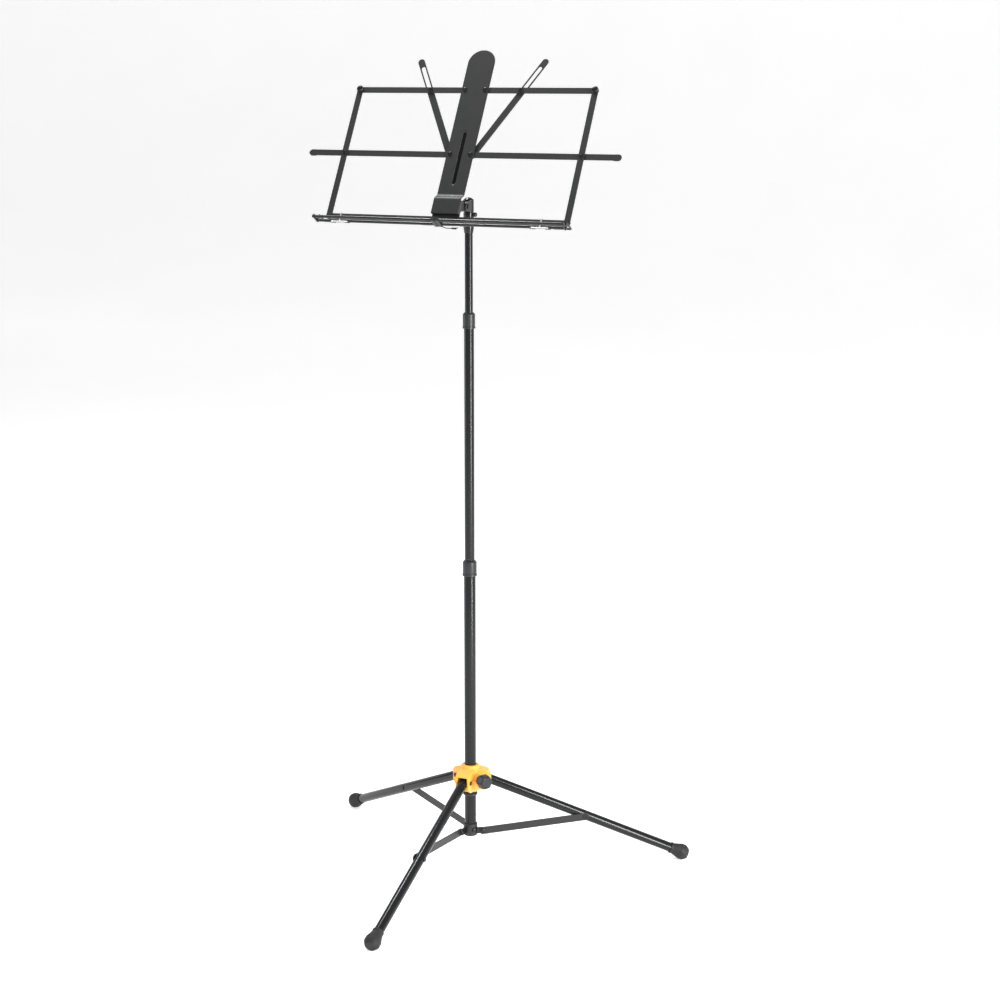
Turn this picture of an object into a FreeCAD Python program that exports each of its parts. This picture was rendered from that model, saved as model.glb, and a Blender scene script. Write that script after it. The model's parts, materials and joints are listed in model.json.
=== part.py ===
"""Folding music stand: a tripod, a three-section mast and a folding desk.

Millimetres, +Z up, origin on the floor under the mast axis. The player stands on the -Y side.
The desk has a frame of its own: x to the right, h up the desk, t out of it towards the player.
"""
import FreeCAD, Part
import math
import os
import Sketcher

DIMENSIONS = {
    # mast tubes
    "lower_tube_radius": 9.525,
    "middle_tube_radius": 7.9375,
    "top_tube_radius": 6.35,
    "tube_wall": 1.0,
    "lower_tube_bottom": 61.0,
    "lower_tube_top": 515.0,
    "middle_tube_bottom": 478.0,
    "middle_tube_top": 918.0,
    "top_tube_bottom": 638.0,
    "top_tube_top": 1072.0,
    "running_gap": 0.07,
    "bush_length": 8.0,
    # twist clamps at the tube joints
    "clamp_grip_length": 8.0,
    "clamp_head_height": 10.0,
    "clamp_head_wall": 1.4,
    "collar_below_tube_top": 11.5,
    "collar_height": 25.0,
    "collar_wall": 1.75,
    "collar_lip": 2.2,
    "collar_flare": 0.5,
    "collar_chamfer": 1.2,
    # strut collar and stop ring on the lower tube
    "strut_collar_bottom": 59.1,
    "strut_collar_height": 21.1,
    "strut_collar_radius": 11.6,
    "strut_lug_inner": 5.0,
    "strut_lug_thickness": 2.9,
    "strut_lug_radius": 5.2,
    "stop_ring_bottom": 129.0,
    "stop_ring_height": 5.0,
    "stop_ring_radius": 11.85,
    # leg hub
    "hub_bottom": 138.1,
    "hub_height": 44.5,
    "hub_sleeve_radius": 15.5,
    "hub_arm_reach": 33.5,
    "hub_arm_half_width": 12.0,
    "hub_slot_half_width": 8.6,
    "hub_slot_roof": 169.0,
    "hub_arm_roof": 176.5,
    "hub_arm_nose": 172.0,
    "hub_boss_radius": 7.5,
    "hub_boss_reach": 27.0,
    "hub_knob_height": 162.0,
    "hub_knob_radius": 12.5,
    "hub_knob_start": 28.0,
    "hub_knob_length": 20.0,
    "hub_knob_flute": 5.0,
    "hub_screw_radius": 3.0,
    # legs
    "leg_radius": 7.95,
    "leg_wall": 1.2,
    "leg_start": -5.0,
    "leg_end": 352.0,
    "leg_pivot_reach": 26.0,
    "leg_pivot_height": 158.0,
    "leg_angle": 66.4,
    "leg_pin_radius": 2.5,
    "foot_start": 341.0,
    "foot_end": 373.0,
    "foot_radius": 13.0,
    "foot_neck_radius": 9.4,
    # struts
    "strut_pivot_reach": 19.7,
    "strut_pivot_height": 68.0,
    "strut_on_leg": 181.2,
    "strut_half_height": 6.15,
    "strut_thickness": 2.0,
    "strut_layer": 8.2,
    "rivet_radius": 2.0,
    "rivet_hole_gap": 0.05,
    "rivet_head_radius": 3.8,
    "rivet_head_height": 1.2,
    # head socket, swivel barrel and tilt joint
    "socket_bottom": 1056.5,
    "socket_top": 1089.2,
    "socket_radius": 8.25,
    "spigot_radius": 4.93,
    "barrel_top": 1109.5,
    "barrel_radius": 8.2,
    "barrel_dome": 3.0,
    "tilt_forward": 17.0,
    "tilt_height": 1099.0,
    "tilt_ear_radius": 8.0,
    "tilt_ear_inner": 4.3,
    "tilt_ear_thickness": 2.8,
    "tilt_arm_half_width": 4.0,
    "tilt_arm_radius": 7.0,
    "tilt_pin_radius": 2.5,
    "head_knob_height": 1085.4,
    "head_knob_radius": 3.5,
    "head_knob_reach": 13.6,
    "head_screw_radius": 1.6,
    # desk plane: the line of the lower pivots, and the lean from upright
    "desk_forward": 87.4,
    "desk_height": 1084.0,
    "desk_lean": 30.3,
    "sheet_thickness": 1.5,
    "layer_pitch": 1.8,
    "bar_half_width": 5.0,
    # desk linkage
    "spine_pivot": 17.3,
    "side_pivot": 200.7,
    "mid_row": 111.0,
    "top_row": 223.5,
    "mid_arm_tip": 260.0,
    "spine_half_width": 23.0,
    "spine_bottom": 6.0,
    "spine_top": 293.5,
    "spine_step": 7.0,
    "spine_step_start": 31.5,
    "spine_step_end": 41.5,
    "groove_bottom": 59.0,
    "groove_top": 150.0,
    "groove_half_width": 3.75,
    "groove_depth": 0.7,
    "bracket_bottom": -6.8,
    "bracket_top": 29.5,
    "prop_pin_out": 59.9,
    "prop_length": 191.4,
    "prop_half_width": 5.5,
    "prop_slot_start": 124.6,
    "prop_slot_end": 176.0,
    "prop_slot_half_width": 3.25,
    "prop_slot_offset": 1.65,
    "prop_pin_radius": 1.4,
    # ledge
    "ledge_drop": 17.0,
    "ledge_rear": 17.3,
    "ledge_front": 30.7,
    "ledge_rod_radius": 2.35,
    "ledge_inner": 0.5,
    "ledge_inner_block": 6.0,
    "ledge_outer": 210.5,
    "ledge_end_plate": 207.0,
    "ledge_plate_low": -19.9,
    "ledge_plate_top": -14.0,
    "ledge_strap_low": -9.5,
    "ledge_strap_high": -6.5,
    "ledge_strap_start": 180.0,
    "ledge_strap_step": 193.0,
    "ledge_latch_length": 27.0,
    "ledge_latch_sag": 2.6,
    "ledge_latch_radius": 0.7,
    "ledge_latch_grip": 8.0,
    "ledge_latch_grip_radius": 1.5,
    "ledge_support": 24.5,
    "ledge_link": 2.5,
    "ledge_strap_top": 4.0,
    "ledge_foot_length": 14.0,
    "ledge_plate_margin": 0.5,
    # page clips
    "clip_start": 152.0,
    "clip_sleeve_radius": 3.3,
    "clip_sleeve_length": 8.0,
    "clip_length": 32.0,
    "clip_upright": 13.0,
    "clip_wire_radius": 0.9,
}

LEG_TURNS = {"front": -90.0, "right": 30.0, "left": 150.0}
SIDES = {"right": 1, "left": -1}
KNOB_TURN = -30.0

X_AXIS = FreeCAD.Vector(1, 0, 0)
Y_AXIS = FreeCAD.Vector(0, 1, 0)
Z_AXIS = FreeCAD.Vector(0, 0, 1)

doc = FreeCAD.newDocument("MusicStand")
sheet = doc.addObject("Spreadsheet::Sheet", "Dimensions")
nodes = []


class Size:
    """A length with the sheet expression that it comes from."""

    def __init__(self, value, text):
        self.value = value
        self.text = text

    def __add__(self, other):
        other = as_size(other)
        return Size(self.value + other.value, f"({self.text} + {other.text})")

    def __sub__(self, other):
        other = as_size(other)
        return Size(self.value - other.value, f"({self.text} - {other.text})")

    def __mul__(self, other):
        other = as_size(other)
        return Size(self.value * other.value, f"({self.text} * {other.text})")

    def __truediv__(self, other):
        other = as_size(other)
        return Size(self.value / other.value, f"({self.text} / {other.text})")

    def __neg__(self):
        return self * -1

    def __radd__(self, other):
        return as_size(other) + self

    def __rsub__(self, other):
        return as_size(other) - self


def as_size(number):
    """A bare number as a Size."""
    return number if isinstance(number, Size) else Size(float(number), f"({float(number)})")


def sine(angle):
    return Size(math.sin(math.radians(angle.value)), f"sin({angle.text} * 1 deg)")


def cosine(angle):
    return Size(math.cos(math.radians(angle.value)), f"cos({angle.text} * 1 deg)")


def tangent(angle):
    return sine(angle) / cosine(angle)


def fill_sheet():
    """Write each driving dimension with its alias."""
    for row, (alias, value) in enumerate(DIMENSIONS.items(), start=1):
        sheet.set(f"A{row}", alias.replace("_", " "))
        sheet.set(f"B{row}", str(value))
        sheet.setAlias(f"B{row}", alias)
    doc.recompute()


def dim(alias):
    """A driving dimension, read from the sheet."""
    return Size(float(sheet.get(alias)), f"Dimensions.{alias}")


def bind(item, prop, size):
    item.setExpression(prop, as_size(size).text)


def keep(item, label):
    """Make an object one of the stand's nodes."""
    item.Label = label
    nodes.append(item)
    return item


# ---------------------------------------------------------------- placements


def at(x=0.0, y=0.0, z=0.0):
    return FreeCAD.Placement(
        FreeCAD.Vector(*[as_size(v).value for v in (x, y, z)]), FreeCAD.Rotation()
    )


def turned_by(axis, degrees):
    return FreeCAD.Placement(FreeCAD.Vector(), FreeCAD.Rotation(axis, degrees))


def desk_frame():
    """The desk's own frame: x, h and t."""
    lean = dim("desk_lean").value
    base = at(0, -dim("desk_forward"), dim("desk_height"))
    return base * turned_by(X_AXIS, 90 - lean)


def leg_frame(turn):
    """Origin at the leg's pin, z down the leg, x up from it, y along the pin."""
    pivot = at(dim("leg_pivot_reach"), 0, dim("leg_pivot_height"))
    return turned_by(Z_AXIS, turn) * pivot * turned_by(Y_AXIS, 180 - dim("leg_angle").value)


# ------------------------------------------------------------------ sketches


def new_body(label):
    return keep(doc.addObject("PartDesign::Body", label), label)


def sketch_on(body, role, offset=0.0, turn=0.0, swing=0.0):
    """A sketch on one of the body's own planes, moved along its normal, turned in it or swung."""
    sketch = body.newObject("Sketcher::SketchObject", f"{body.Name}_sketch")
    plane = next(f for f in body.Origin.OriginFeatures if f.Role == role)
    sketch.AttachmentSupport = [(plane, "")]
    sketch.MapMode = "FlatFace"
    rotation = FreeCAD.Rotation(Y_AXIS, swing) * FreeCAD.Rotation(Z_AXIS, turn)
    sketch.AttachmentOffset = FreeCAD.Placement(FreeCAD.Vector(), rotation)
    bind(sketch, "AttachmentOffset.Base.z", offset)
    return sketch


def pin_point(sketch, geometry, point, x, y):
    """Tie a sketch point to its distances from the origin."""
    for kind, axis, size in (("DistanceX", -2, as_size(x)), ("DistanceY", -1, as_size(y))):
        if abs(size.value) < 1e-9:
            sketch.addConstraint(Sketcher.Constraint("PointOnObject", geometry, point, axis))
            continue
        number = sketch.addConstraint(
            Sketcher.Constraint(kind, -1, 1, geometry, point, size.value)
        )
        bind(sketch, f"Constraints[{number}]", size)


def draw_polygon(sketch, corners):
    """A closed outline of straight lines."""
    points = [FreeCAD.Vector(as_size(x).value, as_size(y).value, 0) for x, y in corners]
    first = sketch.GeometryCount
    count = len(points)
    for i in range(count):
        sketch.addGeometry(Part.LineSegment(points[i], points[(i + 1) % count]), False)
    for i in range(count):
        following = first + (i + 1) % count
        sketch.addConstraint(Sketcher.Constraint("Coincident", first + i, 2, following, 1))
    for i, (x, y) in enumerate(corners):
        pin_point(sketch, first + i, 1, x, y)


def draw_circle(sketch, radius, x=0.0, y=0.0):
    centre = FreeCAD.Vector(as_size(x).value, as_size(y).value, 0)
    circle = Part.Circle(centre, Z_AXIS, as_size(radius).value)
    number = sketch.addGeometry(circle, False)
    pin_point(sketch, number, 3, x, y)
    constraint = sketch.addConstraint(
        Sketcher.Constraint("Radius", number, as_size(radius).value)
    )
    bind(sketch, f"Constraints[{constraint}]", radius)


def draw_slot(sketch, start, end, radius, y=0.0):
    """A round-ended slot along x, between two arc centres."""
    centres = [FreeCAD.Vector(as_size(x).value, as_size(y).value, 0) for x in (start, end)]
    r = as_size(radius).value
    up = FreeCAD.Vector(0, r, 0)
    quarter = math.pi / 2
    first = sketch.GeometryCount
    left, right, low, high = range(first, first + 4)
    sketch.addGeometry(Part.ArcOfCircle(Part.Circle(centres[0], Z_AXIS, r), quarter, 3 * quarter))
    sketch.addGeometry(Part.ArcOfCircle(Part.Circle(centres[1], Z_AXIS, r), -quarter, quarter))
    sketch.addGeometry(Part.LineSegment(centres[0] - up, centres[1] - up))
    sketch.addGeometry(Part.LineSegment(centres[1] + up, centres[0] + up))
    for a, b in ((left, low), (low, right), (right, high), (high, left)):
        sketch.addConstraint(Sketcher.Constraint("Tangent", a, 2, b, 1))
    sketch.addConstraint(Sketcher.Constraint("Equal", left, right))
    number = sketch.addConstraint(Sketcher.Constraint("Radius", left, r))
    bind(sketch, f"Constraints[{number}]", radius)
    pin_point(sketch, left, 3, start, y)
    number = sketch.addConstraint(
        Sketcher.Constraint("DistanceX", -1, 1, right, 3, centres[1].x)
    )
    bind(sketch, f"Constraints[{number}]", end)


# ------------------------------------------------------------------ features


def pad(body, sketch, length, midplane=False):
    feature = body.newObject("PartDesign::Pad", f"{body.Name}_pad")
    feature.Profile = sketch
    bind(feature, "Length", length)
    feature.Midplane = midplane
    return feature


def cut_through(body, sketch):
    """Cut a sketch's outline right through the body, both ways."""
    feature = body.newObject("PartDesign::Pocket", f"{body.Name}_cut")
    feature.Profile = sketch
    feature.Type = "ThroughAll"
    feature.Midplane = True
    return feature


def cut_deep(body, sketch, depth, reversed_way=False):
    feature = body.newObject("PartDesign::Pocket", f"{body.Name}_pocket")
    feature.Profile = sketch
    bind(feature, "Length", depth)
    feature.Reversed = reversed_way
    return feature


def revolve(body, corners):
    """Turn an outline of (radius, height) points about the body's z axis."""
    sketch = sketch_on(body, "XZ_Plane")
    draw_polygon(sketch, corners)
    feature = body.newObject("PartDesign::Revolution", f"{body.Name}_turned")
    feature.Profile = sketch
    feature.ReferenceAxis = (sketch, ["V_Axis"])
    feature.Angle = 360.0
    return feature


def repeat_round(body, features, count):
    """Repeat features evenly about the body's z axis."""
    pattern = body.newObject("PartDesign::PolarPattern", f"{body.Name}_pattern")
    pattern.Originals = features
    axis = next(f for f in body.Origin.OriginFeatures if f.Role == "Z_Axis")
    pattern.Axis = (axis, [""])
    pattern.Angle = 360.0
    pattern.Occurrences = count
    body.Tip = pattern
    return pattern


def turned_body(label, corners, placement=None):
    body = new_body(label)
    revolve(body, corners)
    if placement:
        body.Placement = placement
    return body


def ring_corners(inner, outer, low, high):
    return [(inner, low), (outer, low), (outer, high), (inner, high)]


def bar_body(label, start, end, half_width, thickness, holes, placement):
    """A flat round-ended bar along x, with rivet holes at the given distances."""
    body = new_body(label)
    outline = sketch_on(body, "XY_Plane")
    draw_slot(outline, start, end, half_width)
    pad(body, outline, thickness)
    drilled = sketch_on(body, "XY_Plane")
    for x in holes:
        draw_circle(drilled, dim("rivet_radius") + dim("rivet_hole_gap"), x)
    cut_through(body, drilled)
    body.Placement = placement
    return body


# ---------------------------------------------------------------- primitives


def cylinder(radius, length, placement):
    """A cylinder along its placement's z axis."""
    item = doc.addObject("Part::Cylinder", "Cylinder")
    bind(item, "Radius", radius)
    bind(item, "Height", length)
    item.Placement = placement
    return item


def box(lengths, placement):
    item = doc.addObject("Part::Box", "Box")
    for prop, length in zip(("Length", "Width", "Height"), lengths):
        bind(item, prop, length)
    item.Placement = placement
    return item


def fuse(label, items):
    joined = doc.addObject("Part::MultiFuse", label)
    joined.Shapes = items
    return keep(joined, label)


def group(label, items):
    """Separate solids that share one node."""
    together = doc.addObject("Part::Compound", label)
    together.Links = items
    return keep(together, label)


def rivet(start, end, radius, placement, first_head=True, last_head=True, head=None):
    """A rivet along z: its shank from start to end, with a flat head outside each end."""
    head_radius = head or dim("rivet_head_radius")
    height = dim("rivet_head_height")
    corners = [(0, start), (radius, start), (radius, end), (0, end)]
    if first_head:
        corners[:2] = [
            (0, start - height), (head_radius, start - height),
            (head_radius, start), (radius, start),
        ]
    if last_head:
        corners[-2:] = [
            (radius, end), (head_radius, end), (head_radius, end + height), (0, end + height),
        ]
    body = doc.addObject("PartDesign::Body", "Rivet")
    revolve(body, corners)
    body.Placement = placement
    return body


def wire(points, radius, placement):
    """The straight runs of a bent wire and the round corners between them."""
    items = []
    values = [FreeCAD.Vector(*[as_size(v).value for v in point]) for point in points]
    for start, end in zip(values, values[1:]):
        run = end - start
        turn = FreeCAD.Rotation(Z_AXIS, run)
        items.append(cylinder(radius, run.Length, placement * FreeCAD.Placement(start, turn)))
    for corner in values[1:-1]:
        ball = doc.addObject("Part::Sphere", "Bend")
        bind(ball, "Radius", radius)
        ball.Placement = placement * at(*corner)
        items.append(ball)
    return items


# ------------------------------------------------------------------- the mast


def tube_body(label, radius, wall, bottom, top):
    corners = ring_corners(radius - wall, radius, bottom, top)
    return turned_body(label, corners)


def clamp_sleeve(label, tube_radius, inner_radius, tube_top):
    """Plastic collet: a thin grip inside the outer tube and a head above it."""
    bore = inner_radius + dim("running_gap")
    grip = tube_radius - dim("tube_wall")
    head = bore + dim("clamp_head_wall")
    top = tube_top + dim("clamp_head_height")
    low = tube_top - dim("clamp_grip_length")
    corners = [(bore, low), (grip, low), (grip, tube_top), (head, tube_top), (head, top), (bore, top)]
    return turned_body(label, corners)


def twist_collar(label, tube_radius, inner_radius, tube_top):
    """Collar that squeezes the collet, with a lip over its top."""
    bore = tube_radius + dim("running_gap")
    outer = bore + dim("collar_wall")
    lip = inner_radius + dim("running_gap") * 2
    low = tube_top - dim("collar_below_tube_top")
    top = low + dim("collar_height")
    under_lip = top - dim("collar_lip")
    chamfer = dim("collar_chamfer")
    flare = dim("collar_flare")
    corners = [
        (bore, low), (outer + flare, low), (outer + flare, low + chamfer), (outer, low + chamfer * 3),
        (outer, top - chamfer), (outer - chamfer, top), (lip, top), (lip, under_lip), (bore, under_lip),
    ]
    return turned_body(label, corners)


def guide_bush(label, tube_radius, outer_tube_radius, bottom):
    """Plastic ring on the foot of an inner tube, sliding in the tube outside it."""
    outer = outer_tube_radius - dim("tube_wall") - dim("running_gap")
    return turned_body(label, ring_corners(tube_radius, outer, bottom, bottom + dim("bush_length")))


def make_mast():
    lower, middle, top = (dim(f"{part}_tube_radius") for part in ("lower", "middle", "top"))
    wall = dim("tube_wall")
    tube_body("lower_mast_tube", lower, wall, dim("lower_tube_bottom"), dim("lower_tube_top"))
    tube_body("middle_mast_tube", middle, wall, dim("middle_tube_bottom"), dim("middle_tube_top"))
    tube_body("top_mast_tube", top, wall, dim("top_tube_bottom"), dim("top_tube_top"))
    clamp_sleeve("lower_clamp_sleeve", lower, middle, dim("lower_tube_top"))
    clamp_sleeve("upper_clamp_sleeve", middle, top, dim("middle_tube_top"))
    twist_collar("lower_twist_collar", lower, middle, dim("lower_tube_top"))
    twist_collar("upper_twist_collar", middle, top, dim("middle_tube_top"))
    guide_bush("middle_tube_bush", middle, lower, dim("middle_tube_bottom"))
    guide_bush("top_tube_bush", top, middle, dim("top_tube_bottom"))


def make_strut_collar():
    """Closed collar with three lugs at the bottom of the mast, its rivets, and the stop ring."""
    tube = dim("lower_tube_radius")
    outer = dim("strut_collar_radius")
    low = dim("strut_collar_bottom")
    top = low + dim("strut_collar_height")
    body = new_body("strut_collar")
    chamfer = dim("collar_chamfer")
    seat = dim("lower_tube_bottom")
    revolve(body, [
        (0, low), (outer - chamfer, low), (outer, low + chamfer), (outer, top - chamfer),
        (outer - chamfer, top), (tube, top), (tube, seat), (0, seat),
    ])
    lug = sketch_on(body, "XZ_Plane", offset=dim("strut_lug_inner"))
    draw_lug(lug)
    feature = pad(body, lug, dim("strut_lug_thickness"))
    repeat_round(body, [feature], 3)
    body.Placement = turned_by(Z_AXIS, LEG_TURNS["front"])
    rivets = []
    for turn in LEG_TURNS.values():
        axis = turned_by(Z_AXIS, turn) * at(dim("strut_pivot_reach"), 0, dim("strut_pivot_height"))
        end = dim("strut_layer") + dim("strut_thickness") + dim("running_gap")
        place = axis * turned_by(X_AXIS, 90)
        rivets.append(rivet(dim("strut_lug_inner"), end, dim("rivet_radius"), place))
    group("strut_collar_rivets", rivets)
    ring_low = dim("stop_ring_bottom")
    ring_top = ring_low + dim("stop_ring_height")
    ring = dim("stop_ring_radius")
    turned_body("hub_stop_ring", [
        (tube, ring_low), (ring - chamfer, ring_low), (ring, ring_low + chamfer),
        (ring, ring_top - chamfer), (ring - chamfer, ring_top), (tube, ring_top),
    ])


def draw_lug(sketch):
    """A lug's side: straight from the collar, round about the strut's rivet, with its hole."""
    start = FreeCAD.Vector(dim("strut_collar_radius").value - 1.6, 0, 0)
    reach = dim("strut_pivot_reach")
    height = dim("strut_pivot_height")
    r = dim("strut_lug_radius").value
    centre = FreeCAD.Vector(reach.value, height.value, 0)
    up = FreeCAD.Vector(0, r, 0)
    low = FreeCAD.Vector(start.x, height.value - r, 0)
    high = FreeCAD.Vector(start.x, height.value + r, 0)
    arc = Part.ArcOfCircle(Part.Circle(centre, Z_AXIS, r), -math.pi / 2, math.pi / 2)
    sketch.addGeometry(arc)
    sketch.addGeometry(Part.LineSegment(centre + up, high))
    sketch.addGeometry(Part.LineSegment(high, low))
    sketch.addGeometry(Part.LineSegment(low, centre - up))
    sketch.addConstraint(Sketcher.Constraint("Tangent", 0, 2, 1, 1))
    sketch.addConstraint(Sketcher.Constraint("Coincident", 1, 2, 2, 1))
    sketch.addConstraint(Sketcher.Constraint("Coincident", 2, 2, 3, 1))
    sketch.addConstraint(Sketcher.Constraint("Tangent", 3, 2, 0, 1))
    sketch.addConstraint(Sketcher.Constraint("Vertical", 2))
    sketch.addConstraint(Sketcher.Constraint("Horizontal", 1))
    pin_point(sketch, 0, 3, reach, height)
    number = sketch.addConstraint(Sketcher.Constraint("Radius", 0, r))
    bind(sketch, f"Constraints[{number}]", dim("strut_lug_radius"))
    number = sketch.addConstraint(Sketcher.Constraint("DistanceX", -1, 1, 2, 1, start.x))
    bind(sketch, f"Constraints[{number}]", dim("strut_collar_radius") - 1.6)
    draw_circle(sketch, dim("rivet_radius"), reach, height)


# -------------------------------------------------------------------- the hub


def make_hub():
    """Sliding hub: a sleeve on the mast with three hooded arms and a boss for the knob."""
    low = dim("hub_bottom")
    top = low + dim("hub_height")
    bore = dim("lower_tube_radius") + dim("running_gap")
    outer = dim("hub_sleeve_radius")
    body = new_body("leg_hub")
    solid = revolve(body, [(0, low), (outer, low), (outer, top - 2), (outer - 2, top), (0, top)])
    arm = sketch_on(body, "XZ_Plane")
    reach = dim("hub_arm_reach")
    draw_polygon(arm, [
        (0, low + 2), (reach - 10, low + 2), (reach, dim("leg_pivot_height") - 10),
        (reach, dim("hub_arm_nose") - 4), (reach - 4, dim("hub_arm_nose")),
        (outer, dim("hub_arm_roof")), (0, dim("hub_arm_roof")),
    ])
    arm_pad = pad(body, arm, dim("hub_arm_half_width") * 2, midplane=True)
    repeat_round(body, [arm_pad], 3)
    slot = sketch_on(body, "XZ_Plane")
    draw_polygon(slot, [
        (outer, low - 5), (reach + 5, low - 5), (reach + 5, dim("hub_slot_roof") - 3),
        (outer + 14, dim("hub_slot_roof")), (outer, dim("hub_slot_roof")),
    ])
    slot_cut = body.newObject("PartDesign::Pocket", "leg_hub_slots")
    slot_cut.Profile = slot
    bind(slot_cut, "Length", dim("hub_slot_half_width") * 2)
    slot_cut.Midplane = True
    repeat_round(body, [slot_cut], 3)
    holes = sketch_on(body, "XZ_Plane")
    draw_circle(holes, dim("leg_pin_radius"), dim("leg_pivot_reach"), dim("leg_pivot_height"))
    hole_cut = body.newObject("PartDesign::Pocket", "leg_hub_pin_holes")
    hole_cut.Profile = holes
    bind(hole_cut, "Length", dim("hub_arm_half_width") * 2 + 2)
    hole_cut.Midplane = True
    repeat_round(body, [hole_cut], 3)
    knob_height = dim("hub_knob_height")
    swing = KNOB_TURN - LEG_TURNS["front"]
    boss = sketch_on(body, "YZ_Plane", swing=swing)
    draw_circle(boss, dim("hub_boss_radius"), 0, knob_height)
    pad(body, boss, dim("hub_boss_reach"))
    screw_hole = sketch_on(body, "YZ_Plane", swing=swing)
    draw_circle(screw_hole, dim("hub_screw_radius") + dim("rivet_hole_gap"), 0, knob_height)
    cut_deep(body, screw_hole, dim("hub_boss_reach") + 5, reversed_way=True)
    mast_hole = sketch_on(body, "XY_Plane")
    draw_circle(mast_hole, bore)
    cut_through(body, mast_hole)
    body.Placement = turned_by(Z_AXIS, LEG_TURNS["front"])
    pins = []
    half = dim("hub_arm_half_width")
    for turn in LEG_TURNS.values():
        axis = turned_by(Z_AXIS, turn) * at(dim("leg_pivot_reach"), 0, dim("leg_pivot_height"))
        place = axis * turned_by(X_AXIS, 90)
        pins.append(rivet(-half, half, dim("leg_pin_radius"), place))
    group("leg_hinge_pins", pins)
    return turned_by(Z_AXIS, KNOB_TURN) * at(0, 0, knob_height) * turned_by(Y_AXIS, 90)


def fluted_knob(label, corners, radius, flute, count, placement):
    """A turned knob with flutes cut round its rim."""
    body = new_body(label)
    revolve(body, corners)
    cutter = sketch_on(body, "XY_Plane")
    draw_circle(cutter, flute, radius + flute * 0.62)
    cut = body.newObject("PartDesign::Pocket", f"{label}_flute")
    cut.Profile = cutter
    cut.Type = "ThroughAll"
    cut.Midplane = True
    repeat_round(body, [cut], count)
    body.Placement = placement
    return body


def make_hub_knob(out):
    start = dim("hub_knob_start")
    end = start + dim("hub_knob_length")
    radius = dim("hub_knob_radius")
    screw = dim("hub_screw_radius")
    fluted_knob("hub_knob", [
        (screw, start), (radius - 4.5, start), (radius - 4, start + 4), (radius, start + 6),
        (radius, end - 6), (radius - 2.5, end - 2), (radius - 6, end), (0, end),
        (0, start + 12), (screw, start + 12),
    ], radius, dim("hub_knob_flute"), 6, out)
    tip = dim("lower_tube_radius") + 0.3
    turned_body("hub_knob_screw", [(0, tip), (screw, tip), (screw, start + 12), (0, start + 12)], out)


# ----------------------------------------------------------- legs and struts


def make_leg(name, turn):
    """One leg: tube, rubber foot with a flat on the floor, and the strut's stub rivet."""
    frame = leg_frame(turn)
    radius = dim("leg_radius")
    start = dim("leg_start")
    end = dim("leg_end")
    body = new_body(f"leg_{name}_tube")
    revolve(body, ring_corners(radius - dim("leg_wall"), radius, start, end))
    holes = sketch_on(body, "XZ_Plane")
    draw_circle(holes, dim("leg_pin_radius") + dim("rivet_hole_gap"), 0, 0)
    draw_circle(holes, dim("rivet_radius"), 0, dim("strut_on_leg"))
    cut_through(body, holes)
    body.Placement = frame
    foot_start = dim("foot_start")
    foot_end = dim("foot_end")
    foot = dim("foot_radius")
    neck = dim("foot_neck_radius")
    rubber = doc.addObject("PartDesign::Body", f"foot_{name}_rubber")
    revolve(rubber, [
        (radius, foot_start), (neck, foot_start), (neck + 0.8, foot_start + 4),
        (foot, foot_start + 13), (foot, foot_end - 6), (foot - 1.5, foot_end - 3),
        (foot - 4.5, foot_end), (0, foot_end), (0, end), (radius, end),
    ])
    rubber.Placement = frame
    depth = 20.0
    span = 80.0
    reach = foot_end
    under = turned_by(Z_AXIS, turn) * at(reach - span, -span / 2, -depth)
    floor = box((span * 2, span, depth), under)
    cut = doc.addObject("Part::Cut", f"leg_{name}_foot")
    cut.Base = rubber
    cut.Tool = floor
    keep(cut, f"leg_{name}_foot")
    across = frame * at(0, 0, dim("strut_on_leg")) * turned_by(X_AXIS, 90)
    stub = rivet(-radius, radius, dim("rivet_radius"), across, last_head=False)
    keep(stub, f"leg_{name}_rivet")


def strut_span():
    """The strut's length and its rise angle, from its rivet on the leg."""
    angle = math.radians(dim("leg_angle").value)
    along = dim("strut_on_leg").value
    out = dim("leg_pivot_reach").value + along * math.sin(angle) - dim("strut_pivot_reach").value
    up = dim("leg_pivot_height").value - along * math.cos(angle) - dim("strut_pivot_height").value
    return math.hypot(out, up), math.degrees(math.atan2(up, out))


def make_strut(name, turn):
    """A flat bar beside the leg, from its collar lug to its rivet on the leg."""
    length, rise = strut_span()
    axis = turned_by(Z_AXIS, turn) * at(dim("strut_pivot_reach"), 0, dim("strut_pivot_height"))
    place = axis * turned_by(X_AXIS, 90) * turned_by(Z_AXIS, rise) * at(0, 0, dim("strut_layer"))
    half = dim("strut_half_height")
    thick = dim("strut_thickness")
    bar_body(f"strut_{name}_bar", 0, length, half, thick, [0, length], place)
    outer = place * at(length, 0, 0)
    shank = dim("rivet_radius")
    keep(rivet(-0.1, thick, shank, outer, first_head=False), f"strut_{name}_rivet")


# ------------------------------------------------------------------- the head


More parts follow.
